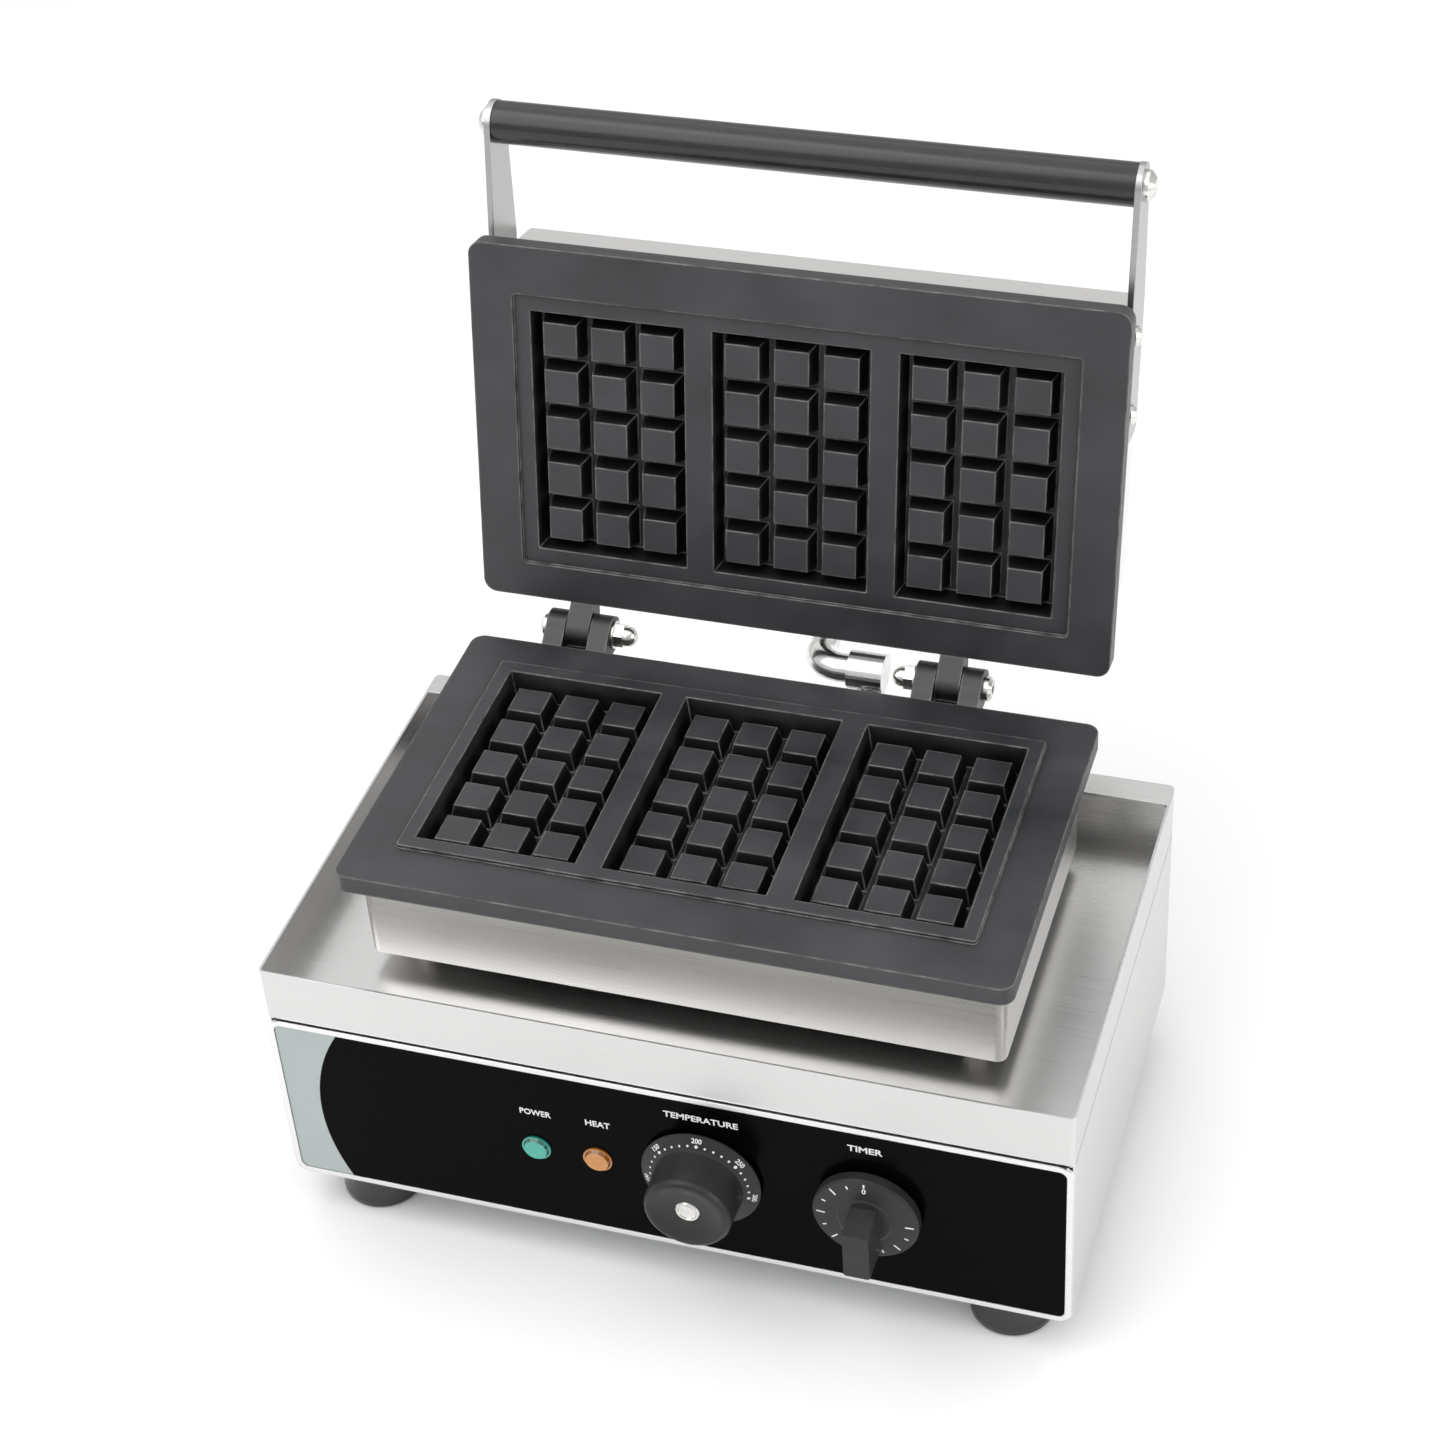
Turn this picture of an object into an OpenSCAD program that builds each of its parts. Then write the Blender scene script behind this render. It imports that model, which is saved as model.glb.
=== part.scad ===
// Counter-top electric waffle maker with a hinged lid, shown with the lid standing open.
// Origin: table level, under the middle of the whole appliance with its lid open.
// +X to the right, +Y to the back, +Z up.
// The lid parts are drawn closed about the hinge pin and then swung back by lid_open.

/* [Base] */
// Width of the base over its side walls
base_w = 400; // [372:2:480]
// Depth of the base, front panel face to back wall
base_d = 236; // [226:2:290]
// Height of the body wall, underside to the tray joint
body_h = 106.5; // [88:0.5:130]
// Height of the tray rim above its joint with the body
rim_h = 31.5; // [26:0.5:40]
// Thickness of the stainless sheet
sheet = 1.2; // [0.8:0.1:1.5]
// Height of a foot
foot_h = 26; // [20:1:34]
// Diameter of a foot where it stands
foot_d = 42; // [34:1:50]

/* [Waffle plates] */
// Width of a plate
plate_w = 330; // [322:2:350]
// Length of a plate, hinge edge to handle edge
plate_l = 192; // [188:2:210]
// Thickness of a plate at its edge
plate_t = 10; // [8:0.5:12]
// Depth of a waffle cavity below the parting plane
cavity_depth = 14; // [12:0.5:16]
// Distance between stud centres
stud_pitch = 25.2; // [24:0.1:25.6]
// Width of a stud at its top
stud_top = 17.5; // [16:0.1:18]
// Width of the ridge between two cavities
web = 13.4; // [12:0.1:14]

/* [Lid] */
// Angle between closed and open
lid_open = 100; // [92:1:106]
// Distance from the plate edge to the hinge pin
hinge_reach = 15.4; // [14.5:0.1:18]
// Height of a plate housing behind the plate edge
housing_h = 51; // [44:1:60]
// Distance from the hinge pin to the centre of the handle grip
grip_reach = 258.5; // [245:0.5:280]
// Diameter of the handle grip
grip_d = 21; // [18:0.5:25]

/* [Controls] */
// Diameter of the thermostat knob skirt
skirt_d = 60; // [54:1:66]
// Diameter of the timer dial
timer_d = 52; // [46:1:58]
// Diameter of an indicator lamp lens
lamp_d = 14; // [12:0.5:18]

/* [Hidden] */

$fn = 48;
eps = 0.01;

// Heights, from the table up
joint_z = foot_h + body_h;
rim_z = joint_z + rim_h;
floor_z = joint_z + 7.5;
spacer_h = 10.5;
pan_z = floor_z + spacer_h;
hinge_z = pan_z + housing_h + plate_t;

// Knob face to middle of base, and middle of base to the back of the open lid
overlay_t = 0.6;
knob_h = 26.8;
plate_offset = 3.8;
pan_depth = plate_t + housing_h;
housing_far = hinge_reach + plate_l - 14;
hinge_offset = plate_offset + plate_l / 2 + hinge_reach;
reach_front = base_d / 2 + overlay_t + knob_h;
reach_back = hinge_offset - housing_far * cos(lid_open) + pan_depth * sin(lid_open);

// Places seen from above
base_y = round((reach_front - reach_back) / 2);
front_y = base_y - base_d / 2;
back_y = base_y + base_d / 2;
hinge_y = base_y + hinge_offset;
foot_x = base_w / 2 - 34;
foot_front_y = front_y + 25;
foot_rear_y = back_y - 25;

// Base sheet work
joint_gap = 1;
lip_inset = sheet + 0.3;
rear_flange = 15;
cover_inset = 8;
flange_w = 20;
lip_w = 13;
vent_z = foot_h + body_h * 0.62;
gland_x = -150;
gland_z = foot_h + 30;
block_x = -105;
block_y = base_y + 55;
bead_w = 3;
bead_h = 1.2;
panel_r = 7;
m4_r = 2;
m4_hole_r = 2.1;
cover_screw_x = base_w / 2 - 14;
cover_screw_y = base_d / 2 - 14;

// Controls on the front panel
control_z = foot_h + 54;
knob_x = 19.8;
timer_x = 102.5;
lamp_z = foot_h + 51.5;
power_x = -65;
heat_x = -33.4;
face_y = front_y - overlay_t;
shaft_r = 3;
shaft_hole_r = 5;
screw_offset = 14;
running = 0.05;

// Waffle plates, measured from the hinge pin with the lid closed
parting_gap = 0.3;
corner_r = 7;
land_r = 1.8;
cols = 3;
rows = 5;
cavities = 3;
draft = 2.2;
side_gap = 6.5;
stud_drop = 3.5;
land_rise = 1.5;
land_margin = 7.5;
wall_t = 4;
cavity_floor_t = 5;
cavity_w = (cols - 1) * stud_pitch + stud_top + 2 * side_gap;
cavity_l = (rows - 1) * stud_pitch + stud_top + 2 * side_gap;
cavity_pitch = cavity_w + web;
land_w = (cavities - 1) * cavity_pitch + cavity_w + 2 * land_margin;
land_l = cavity_l + 2 * land_margin;
block_w = land_w - 2 * land_margin + 2 * wall_t;
block_l = cavity_l + 2 * wall_t;
block_z = cavity_depth + cavity_floor_t;
plate_cy = -hinge_reach - plate_l / 2;
grid_y = plate_cy + 3;

// Plate housings, measured the same way
housing_w = plate_w - 12.6;
housing_near = hinge_reach + 19;
housing_r = 5;

// Heating pack behind a plate
element_r = 3.2;
run_pitch = 24;
run_half = block_w / 2 - 26;
element_z = block_z + element_r + 0.1;
clamp_z = element_z + element_r + 0.1;
clamp_t = 2;
bolt_x = cavity_pitch / 2;
tie_y = 50;
clamp_y = 24;
m5_r = 2.5;
m5_hole_r = 2.6;
wool_gap = 2;

// Supports between tray and lower housing
support_x = housing_w / 2 - 20;
support_front_y = hinge_y - housing_far + 22;
support_rear_y = hinge_y - housing_near - 22;
sleeve_x = -bolt_x - 14;
sleeve_y = hinge_y + grid_y;

// Hinges
hinge_left_x = -111;
hinge_right_x = 85.5;
knuckle_r = 9.5;
outer_w = 10.5;
middle_w = 12.5;
knuckle_gap = 0.5;
hinge_half = middle_w / 2 + knuckle_gap + outer_w;
pin_r = 4;
pin_bore_r = pin_r + 0.06;
stop_gap = 0.2;
washer_t = 1.2;

// Wiring conduit
tube_r = 7.5;
tube_in_r = 6.3;
bend_r = 14;
elbow_x = 13.8;
union_x = 43;
union_r = 10;
chamber_r = tube_in_r + 0.5;
union_from = union_x - 10;
union_to = union_x + 8.5;
elbow_end = union_x - 1.5;
down_y = hinge_y - housing_near + 11;
jog_start = 12;
nut_hex_r = 11;

// Handle
arm_t = 3;
arm_x = housing_w / 2;
grip_z = 31;
arm_end_r = 11;
arm_low = 128;
arm_back = 50;
arm_front = grip_z - arm_end_r;
arm_shoulder = 196;
arm_bolt_s = [143.5, 184];
rod_r = 5;

// ---------------------------------------------------------------- shared shapes

module rounded_rect(w, l, r) {
    square([w - 2 * r, l], center = true);
    square([w, l - 2 * r], center = true);
    for (x = [-1, 1], y = [-1, 1])
        translate([x * (w / 2 - r), y * (l / 2 - r)]) circle(r);
}

module slab(w, l, h, r) {
    linear_extrude(h) rounded_rect(w, l, r);
}

// A cylinder that lies along X, from x1 to x2
module x_rod(r, x1, x2) {
    translate([x1, 0, 0]) rotate([0, 90, 0]) cylinder(r = r, h = x2 - x1);
}

// A cylinder that lies along Y, from y1 to y2
module y_rod(r, y1, y2) {
    translate([0, y1, 0]) rotate([-90, 0, 0]) cylinder(r = r, h = y2 - y1);
}

// A pipe bend that starts at the origin heading up Z and turns towards +X
module bend(radius, r, angle) {
    translate([radius, 0, 0])
        rotate([90, 0, 180])
            rotate_extrude(angle = angle) translate([radius, 0]) circle(r);
}

// Screw with a low round head, head below z = 0 and shank up to z = length
module pan_screw(r, head_r, head_h, length) {
    cylinder(r = r, h = length);
    translate([0, 0, -head_h * 0.4]) cylinder(r = head_r, h = head_h * 0.4);
    translate([0, 0, -head_h]) cylinder(r1 = head_r * 0.72, r2 = head_r, h = head_h * 0.6);
}

module hex_nut(r, bore, h) {
    difference() {
        cylinder(r = r, h = h, $fn = 6);
        translate([0, 0, -eps]) cylinder(r = bore, h = h + 2 * eps);
    }
}

// Acorn nut that stands on z = 0 with its dome up
module dome_nut(r, bore, h) {
    difference() {
        union() {
            cylinder(r = r, h = h, $fn = 6);
            cylinder(r = r * 0.8, h = h + 1.5);
            translate([0, 0, h + 1.5]) sphere(r = r * 0.8);
        }
        translate([0, 0, -eps]) cylinder(r = bore, h = h + 1);
    }
}

// Moves the hinge pin axis from the origin to its place at the back of the base
module at_hinge() {
    translate([0, hinge_y, hinge_z]) children();
}

// Places parts drawn closed about the hinge pin where the open lid holds them
module on_lid() {
    at_hinge() rotate([-lid_open, 0, 0]) children();
}

// Turns a shape drawn above the parting plane into one below it
module lower_side() {
    at_hinge() mirror([0, 0, 1]) children();
}

module at_corners(x, y1, y2) {
    for (sx = [-1, 1], y = [y1, y2])
        translate([sx * x, y, 0]) children();
}

// Two screws along each side of the bottom cover and one at the back
module at_cover_screws() {
    for (sx = [-1, 1], sy = [-1, 1])
        translate([sx * cover_screw_x, base_y + sy * cover_screw_y / 2, 0]) children();
    translate([0, base_y + cover_screw_y, 0]) children();
}

// ---------------------------------------------------------------- base

module body_shell() {
    vents = 8;
    vent_pitch = 9;
    inner_d = base_d - sheet - 0.2;
    color("gainsboro") difference() {
        union() {
            translate([0, base_y + (sheet + 0.2) / 2, foot_h])
                slab(base_w, inner_d, body_h, 2.5);
            translate([0, base_y + (lip_inset + 0.2) / 2, foot_h])
                slab(base_w - 2 * lip_inset, inner_d - 2 * lip_inset, floor_z - sheet - foot_h, 2);
        }
        // hollow, open at the front
        translate([-base_w / 2 + sheet + lip_inset, front_y - 1, foot_h + sheet])
            cube([base_w - 2 * (sheet + lip_inset), base_d + 1 - sheet - lip_inset,
                floor_z - 3 * sheet - foot_h]);
        translate([-base_w / 2 + sheet, front_y - 1, foot_h + sheet])
            cube([base_w - 2 * sheet, base_d + 1 - sheet, body_h - 2 * sheet]);
        // opening inside the turned-in bottom flange
        translate([-base_w / 2 + flange_w, front_y - 1, foot_h - 1])
            cube([base_w - 2 * flange_w, base_d + 1 - flange_w, 4]);
        // opening inside the lip that carries the tray
        translate([0, base_y, joint_z - 4])
            linear_extrude(20) square([base_w - 2 * lip_w, base_d - 2 * lip_w], center = true);
        // cooling slots in the back wall
        for (side = [-1, 1], i = [0 : vents - 1])
            translate([side * 90 + (i - (vents - 1) / 2) * vent_pitch, back_y, vent_z])
                rotate([90, 0, 0])
                    translate([0, 0, -1]) slab(3.4, 34, sheet + 3, 1.6);
        // hole for the cord gland
        translate([gland_x, 0, gland_z]) y_rod(8.1, back_y - 4, back_y + 1);
        // holes for the cover screws
        at_cover_screws() translate([0, 0, foot_h - 1]) cylinder(r = m4_hole_r, h = 4);
    }
}

module bottom_cover() {
    slots = 9;
    color("silver") difference() {
        translate([0, base_y, foot_h - sheet])
            slab(base_w - 2 * cover_inset, base_d - 2 * cover_inset, sheet, 4);
        for (side = [-1, 1], i = [0 : slots - 1])
            translate([side * 70, base_y + (i - (slots - 1) / 2) * 11, foot_h - 3])
                slab(62, 4, 6, 1.9);
        at_corners(foot_x, foot_front_y, foot_rear_y)
            translate([0, 0, foot_h - 3]) cylinder(r = 3.2, h = 6);
        at_cover_screws() translate([0, 0, foot_h - 3]) cylinder(r = m4_hole_r, h = 6);
        for (x = [-14, 14])
            translate([block_x + x, block_y, foot_h - 3]) cylinder(r = m4_hole_r, h = 6);
    }
}

module cover_screws() {
    color("lightgray") at_cover_screws()
        translate([0, 0, foot_h - sheet]) pan_screw(m4_r, 3.6, 2.2, 7);
}

module panel_holes(r_lamp) {
    for (x = [power_x, heat_x])
        translate([x, 0, lamp_z]) y_rod(r_lamp, front_y - 5, front_y + 5);
    for (x = [knob_x, timer_x])
        translate([x, 0, control_z]) y_rod(shaft_hole_r, front_y - 5, front_y + 5);
}

module front_panel() {
    return_d = 12;
    inner_w = base_w - 2 * sheet - 0.8;
    inner_h = body_h - 2 * sheet - 0.8;
    color("whitesmoke") difference() {
        union() {
            translate([0, front_y + sheet, foot_h + body_h / 2]) rotate([90, 0, 0])
                slab(base_w, body_h, sheet, panel_r);
            // raised bead round the edge
            translate([0, front_y, foot_h + body_h / 2]) rotate([90, 0, 0])
                linear_extrude(bead_h) difference() {
                    rounded_rect(base_w, body_h, panel_r);
                    rounded_rect(base_w - 2 * bead_w, body_h - 2 * bead_w, panel_r - bead_w);
                }
            // turned-back edge that stiffens the panel inside the shell
            translate([0, front_y + sheet + return_d, foot_h + body_h / 2]) rotate([90, 0, 0])
                linear_extrude(return_d) difference() {
                    rounded_rect(inner_w, inner_h, 4);
                    rounded_rect(inner_w - 2 * sheet, inner_h - 2 * sheet, 3);
                }
        }
        panel_holes(lamp_d / 2 - 0.6);
        for (x = [knob_x, timer_x], s = [-1, 1])
            translate([x + s * screw_offset, 0, control_z])
                y_rod(m4_hole_r, front_y - 1, front_y + sheet + 1);
    }
}

module fascia_overlay() {
    color([0.03, 0.03, 0.035]) difference() {
        translate([0, front_y, foot_h + body_h / 2]) rotate([90, 0, 0])
            slab(base_w - 2 * bead_w - 0.4, body_h - 2 * bead_w - 0.4, overlay_t, panel_r - bead_w);
        panel_holes(lamp_d / 2 - 0.6);
        for (x = [knob_x, timer_x], s = [-1, 1])
            translate([x + s * screw_offset, 0, control_z])
                y_rod(4, front_y - 3, front_y + 1);
    }
}

module top_tray() {
    r = 3;
    skirt_z = joint_z + joint_gap;
    color("gainsboro") difference() {
        translate([0, base_y, skirt_z]) slab(base_w, base_d, rim_z - skirt_z, r);
        // the tray itself
        translate([0, base_y - rear_flange / 2 + sheet / 2, floor_z])
            slab(base_w - 2 * sheet, base_d - sheet - rear_flange, rim_h, r - sheet);
        translate([0, base_y, floor_z])
            slab(base_w - 2 * sheet, base_d - 2 * sheet, rim_z - sheet - floor_z, r - sheet);
        // hollow below the floor
        translate([0, base_y, skirt_z - 1])
            slab(base_w - 2 * sheet, base_d - 2 * sheet, floor_z - sheet - skirt_z + 1, r - sheet);
        // holes for the support bolts, the wires and the conduit
        at_corners(support_x, support_front_y, support_rear_y)
            translate([0, 0, floor_z - 4]) cylinder(r = m5_hole_r, h = 8);
        translate([sleeve_x, sleeve_y, floor_z - 4]) cylinder(r = 8.1, h = 8);
        translate([union_x, down_y, floor_z - 4]) cylinder(r = tube_r + 0.1, h = 8);
    }
}

module foot() {
    top_r = foot_d / 2 * 0.66;
    h = foot_h - sheet;
    color([0.05, 0.05, 0.055]) difference() {
        rotate_extrude() polygon([
            [0, 0], [foot_d / 2 - 1.5, 0], [foot_d / 2, 1.5], [foot_d / 2, 4],
            [foot_d / 2 - 1.2, h * 0.34], [foot_d / 2 - 3.4, h * 0.62],
            [top_r, h * 0.9], [top_r - 0.8, h], [0, h]
        ]);
        translate([0, 0, -eps]) cylinder(r = 8, h = 9);
        translate([0, 0, -eps]) cylinder(r = 3.2, h = foot_h);
    }
}

module foot_front_left() translate([-foot_x, foot_front_y, 0]) foot();
module foot_front_right() translate([foot_x, foot_front_y, 0]) foot();
module foot_rear_left() translate([-foot_x, foot_rear_y, 0]) foot();
module foot_rear_right() translate([foot_x, foot_rear_y, 0]) foot();

module foot_screws() {
    color("lightgray") at_corners(foot_x, foot_front_y, foot_rear_y)
        translate([0, 0, 9]) pan_screw(3, 6.5, 4, foot_h - 1);
}

module foot_nuts() {
    color("lightgray") at_corners(foot_x, foot_front_y, foot_rear_y)
        translate([0, 0, foot_h + sheet]) hex_nut(5.8, 3.05, 5);
}

// ---------------------------------------------------------------- controls

module lamp_lens() {
    color([0.1, 0.75, 0.6, 0.8]) {
        translate([0, face_y, 0]) rotate([90, 0, 0]) {
            cylinder(r = lamp_d / 2 + 0.4, h = 1);
            cylinder(r1 = lamp_d / 2 + 0.4, r2 = lamp_d / 2 - 1.2, h = 2.6);
        }
        y_rod(lamp_d / 2 - 0.8, face_y - 0.5, front_y + 8);
    }
}

module lamp_holder() {
    color([0.12, 0.12, 0.12]) {
        difference() {
            y_rod(lamp_d / 2 + 1.6, front_y + sheet, front_y + 24);
            y_rod(lamp_d / 2 - 0.7, front_y, front_y + 8.1);
        }
        for (x = [-2.6, 2.6])
            translate([x - 1.4, front_y + 23.5, -0.4]) cube([2.8, 8, 0.8]);
    }
}

module power_lamp_lens() translate([power_x, 0, lamp_z]) lamp_lens();
module power_lamp_holder() translate([power_x, 0, lamp_z]) lamp_holder();
module heat_lamp_lens() translate([heat_x, 0, lamp_z]) lamp_lens();
module heat_lamp_holder() translate([heat_x, 0, lamp_z]) lamp_holder();

// Shaft with a flat on its front end, drawn round y = 0
module control_shaft(front_end, back_end) {
    color("silver") difference() {
        y_rod(shaft_r, front_end, back_end);
        translate([-shaft_r, front_end - 1, 1.8]) cube([2 * shaft_r, 14, shaft_r]);
    }
}

module shaft_socket(front_end) {
    difference() {
        y_rod(shaft_r + running, front_end, front_y + 1);
        translate([-shaft_r - 1, front_end - 1, 1.8 + running]) cube([2 * shaft_r + 2, 12, shaft_r]);
    }
}

module control_case(w, h, d) {
    back = front_y + sheet + d;
    difference() {
        union() {
            translate([-w / 2, front_y + sheet + 3, -h / 2]) cube([w, d - 3, h]);
            translate([-screw_offset - 6, front_y + sheet, -11]) cube([2 * screw_offset + 12, 3 + eps, 22]);
        }
        y_rod(shaft_r + running, front_y, front_y + sheet + 19);
        for (s = [-1, 1])
            translate([s * screw_offset, 0, 0]) y_rod(m4_hole_r, front_y, front_y + sheet + 8);
    }
    for (x = [-10, 0, 10])
        translate([x - 3.1, back - eps, h / 4]) cube([6.2, 9, 0.9]);
}

module thermostat_body() {
    color("silver") translate([knob_x, 0, control_z]) control_case(46, 40, 28);
}

module timer_body() {
    color("silver") translate([timer_x, 0, control_z]) control_case(50, 50, 38);
}

module control_screws() {
    color("lightgray")
        for (x = [knob_x, timer_x], s = [-1, 1])
            translate([x + s * screw_offset, front_y, control_z])
                rotate([-90, 0, 0]) pan_screw(m4_r, 3.6, 0.55, 8);
}

module thermostat_shaft() {
    translate([knob_x, 0, control_z]) control_shaft(face_y - 18, front_y + sheet + 18);
}

module timer_shaft() {
    translate([timer_x, 0, control_z]) control_shaft(face_y - 16, front_y + sheet + 18);
}

// Knob with a wide dished skirt and a hollowed face
module thermostat_knob() {
    r = skirt_d / 2;
    grip_r = r * 0.733;
    color([0.17, 0.17, 0.18]) translate([knob_x, 0, control_z]) difference() {
        translate([0, face_y - 1, 0]) rotate([90, 0, 0])
            rotate_extrude($fn = 96) polygon([
                [0, 0], [r - 0.8, 0], [r, 0.8], [r, 1.6], [grip_r + 1.6, 4.4], [grip_r + 0.4, 5.4],
                [grip_r - 0.3, 23.2], [grip_r - 1.2, 25], [grip_r - 2.6, knob_h - 1], [grip_r - 4.4, 25.6],
                [grip_r * 0.55, 23.6], [6.3, 22.6], [6.3, 20.8], [0, 20.8]
            ]);
        shaft_socket(face_y - 18.2);
    }
}

module thermostat_knob_cap() {
    color("silver") translate([knob_x, 0, control_z])
        translate([0, face_y - 21.8, 0]) rotate([90, 0, 0])
            rotate_extrude() polygon([
                [0, 0], [6.2, 0], [6.2, 2], [5.6, 2.6], [4.9, 2.6], [4.4, 2], [3, 1.6], [0, 1.5]
            ]);
}

// Dial with a raised finger bar that points at the scale
module timer_knob() {
    r = timer_d / 2;
    bar_w = 14.6;
    bar_top = 9.4;
    bar_bottom = r - 3.5;
    bar_h = 24;
    color([0.2, 0.2, 0.21]) translate([timer_x, 0, control_z]) difference() {
        translate([0, face_y - 1, 0]) rotate([90, 0, 0]) union() {
            rotate_extrude($fn = 96) polygon([
                [0, 0], [r - 1, 0], [r, 1], [r, 5.6], [r - 1, 6.6], [14, 7.4], [12.6, 7.9], [0, 8.2]
            ]);
            intersection() {
                translate([0, (bar_top - bar_bottom) / 2, 0])
                    slab(bar_w, bar_top + bar_bottom, bar_h, 4);
                // the bar leans in towards its tip
                rotate([90, 0, 0]) translate([0, 0, -bar_top - 5])
                    linear_extrude(60) polygon([
                        [-bar_w / 2, 0], [bar_w / 2, 0], [bar_w / 2 - 0.9, bar_h], [0.9 - bar_w / 2, bar_h]
                    ]);
                rotate([90, 0, 90]) translate([0, 0, -20])
                    linear_extrude(40) polygon([
                        [-bar_bottom, 0], [bar_top, 0], [bar_top - 3, bar_h], [-bar_bottom + 0.6, bar_h]
                    ]);
            }
        }
        shaft_socket(face_y - 16.2);
    }
}

module sensor_bulb() {
    color("peru") lower_side()
        translate([0, grid_y, element_z]) {
            x_rod(3, -34, 34);
            translate([-34, 0, 0]) sphere(r = 3);
            translate([34, 0, 0]) sphere(r = 3);
        }
}

// Thin tube through the wire sleeve, from the sensor bulb to the thermostat
module capillary_tube() {
    r = 1;
    turn = 6;
    top_z = hinge_z - element_z;
    low_z = control_z + turn;
    case_back = front_y + sheet + 28;
    color("peru") {
        translate([0, sleeve_y, top_z]) x_rod(r, sleeve_x + turn, -37);
        translate([sleeve_x + turn, sleeve_y, top_z]) rotate([0, -90, 0]) mirror([1, 0, 0]) bend(turn, r, 90);
        translate([sleeve_x, sleeve_y, low_z]) cylinder(r = r, h = top_z - turn - low_z);
        translate([sleeve_x, sleeve_y, low_z]) mirror([0, 0, 1]) bend(turn, r, 90);
        translate([sleeve_x + turn, sleeve_y, low_z - turn]) x_rod(r, 0, knob_x - sleeve_x - 2 * turn);
        translate([knob_x - turn, sleeve_y, low_z - turn])
            rotate([-90, 0, 0]) rotate([0, 90, 0]) bend(turn, r, 90);
        translate([knob_x, 0, low_z - turn]) y_rod(r, case_back, sleeve_y - turn);
    }
}

// ---------------------------------------------------------------- supply

module cord_gland() {
    color([0.06, 0.06, 0.06]) translate([gland_x, 0, gland_z]) difference() {
        union() {
            y_rod(11, back_y, back_y + 3);
            y_rod(8, back_y - 8, back_y + 1);
            translate([0, back_y + 3 - eps, 0]) rotate([-90, 0, 0]) cylinder(r1 = 8.6, r2 = 6.8, h = 12);
            y_rod(10.5, back_y - 8, back_y - sheet);
        }
        y_rod(4.5, back_y - 9, back_y + 16);
    }
}

module terminal_block() {
    poles = 3;
    color("ivory") translate([block_x, block_y, foot_h]) difference() {
        translate([-20, -10, 0]) cube([40, 20, 16]);
        for (i = [0 : poles - 1], s = [-1, 1]) {
            translate([(i - 1) * 12, s * 5, 7]) cylinder(r = 2.6, h = 10);
            translate([(i - 1) * 12, 0, 4]) y_rod(2.2, s > 0 ? 4 : -11, s > 0 ? 11 : -4);
        }
        for (x = [-14, 14])
            translate([x, 0, -1]) cylinder(r = m4_hole_r, h = 30);
    }
}

module terminal_screws() {
    poles = 3;
    color("lightgray") translate([block_x, block_y, foot_h]) {
        for (i = [0 : poles - 1], s = [-1, 1])
            translate([(i - 1) * 12, s * 5, 8]) cylinder(r = 2.5, h = 5);
        for (x = [-14, 14])
            translate([x, 0, -sheet]) pan_screw(m4_r, 3.6, 2.2, 14);
    }
}

// ---------------------------------------------------------------- waffle plates

// Trapezium that narrows from w to w - 2 * lean over its height
module taper_profile(w, lean, h) {
    polygon([[-w / 2, 0], [w / 2, 0], [w / 2 - lean, h], [-w / 2 + lean, h]]);
}

// Square-based block with sloping sides, made from two crossed wedges
module tapered_block(w, l, lean, h) {
    intersection() {
        translate([0, l / 2 + 1, 0]) rotate([90, 0, 0]) linear_extrude(l + 2) taper_profile(w, lean, h);
        translate([-w / 2 - 1, 0, 0]) rotate([90, 0, 90]) linear_extrude(w + 2) taper_profile(l, lean, h);
    }
}

// All the studs of one cavity, standing on z = 0 and tapering upwards
module studs() {
    h = cavity_depth - stud_drop;
    foot = stud_top + 2 * draft;
    span = rows * stud_pitch;
    intersection() {
        for (i = [0 : cols - 1])
            translate([(i - (cols - 1) / 2) * stud_pitch, span / 2, 0])
                rotate([90, 0, 0]) linear_extrude(span) taper_profile(foot, draft, h);
        for (j = [0 : rows - 1])
            translate([-span / 2, (j - (rows - 1) / 2) * stud_pitch, 0])
                rotate([90, 0, 90]) linear_extrude(span) taper_profile(foot, draft, h);
    }
}

// Cast plate drawn above the parting plane, cooking side down.
// face is the height of the land round the cavities above that plane.
module plate_casting(face) {
    difference() {
        union() {
            translate([0, plate_cy, parting_gap])
                slab(plate_w, plate_l, plate_t - parting_gap, corner_r);
            translate([0, grid_y, parting_gap + 1])
                slab(block_w, block_l, block_z - parting_gap - 1, 6);
            if (face < 0)
                translate([0, grid_y, face]) slab(land_w, land_l, parting_gap - face + 1, land_r);
        }
        if (face > 0)
            translate([0, grid_y, -1]) slab(land_w + 1.2, land_l + 1.2, face + 1, land_r + 0.6);
        for (i = [0 : cavities - 1])
            translate([(i - (cavities - 1) / 2) * cavity_pitch, grid_y, -land_rise - 0.4])
                tapered_block(cavity_w + 0.4, cavity_l + 0.4, draft + 0.5, cavity_depth + land_rise + 0.4);
        for (x = [-1, 1], y = [-1, 1]) {
            translate([x * bolt_x, grid_y + y * tie_y, block_z - 9]) cylinder(r = m5_hole_r, h = 10);
            translate([x * bolt_x, grid_y + y * clamp_y, block_z - 9]) cylinder(r = m5_hole_r, h = 10);
        }
    }
    for (i = [0 : cavities - 1])
        translate([(i - (cavities - 1) / 2) * cavity_pitch, grid_y, cavity_depth + eps])
            mirror([0, 0, 1]) studs();
}

// Knuckle of width w centred on x, with an arm to the plate edge
module knuckle(x, w) {
    reach = hinge_reach + 1;
    translate([x, 0, 0]) difference() {
        union() {
            x_rod(knuckle_r, -w / 2, w / 2);
            rotate([90, 0, 90]) translate([0, 0, -w / 2]) linear_extrude(w) polygon([
                [-reach, plate_t - 0.4], [-reach, 0.6], [-hinge_reach, 0.5],
                [-knuckle_r * 0.74, -knuckle_r * 0.67], [0, 0], [0, knuckle_r]
            ]);
        }
        x_rod(pin_bore_r, -w, w);
    }
}

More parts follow.
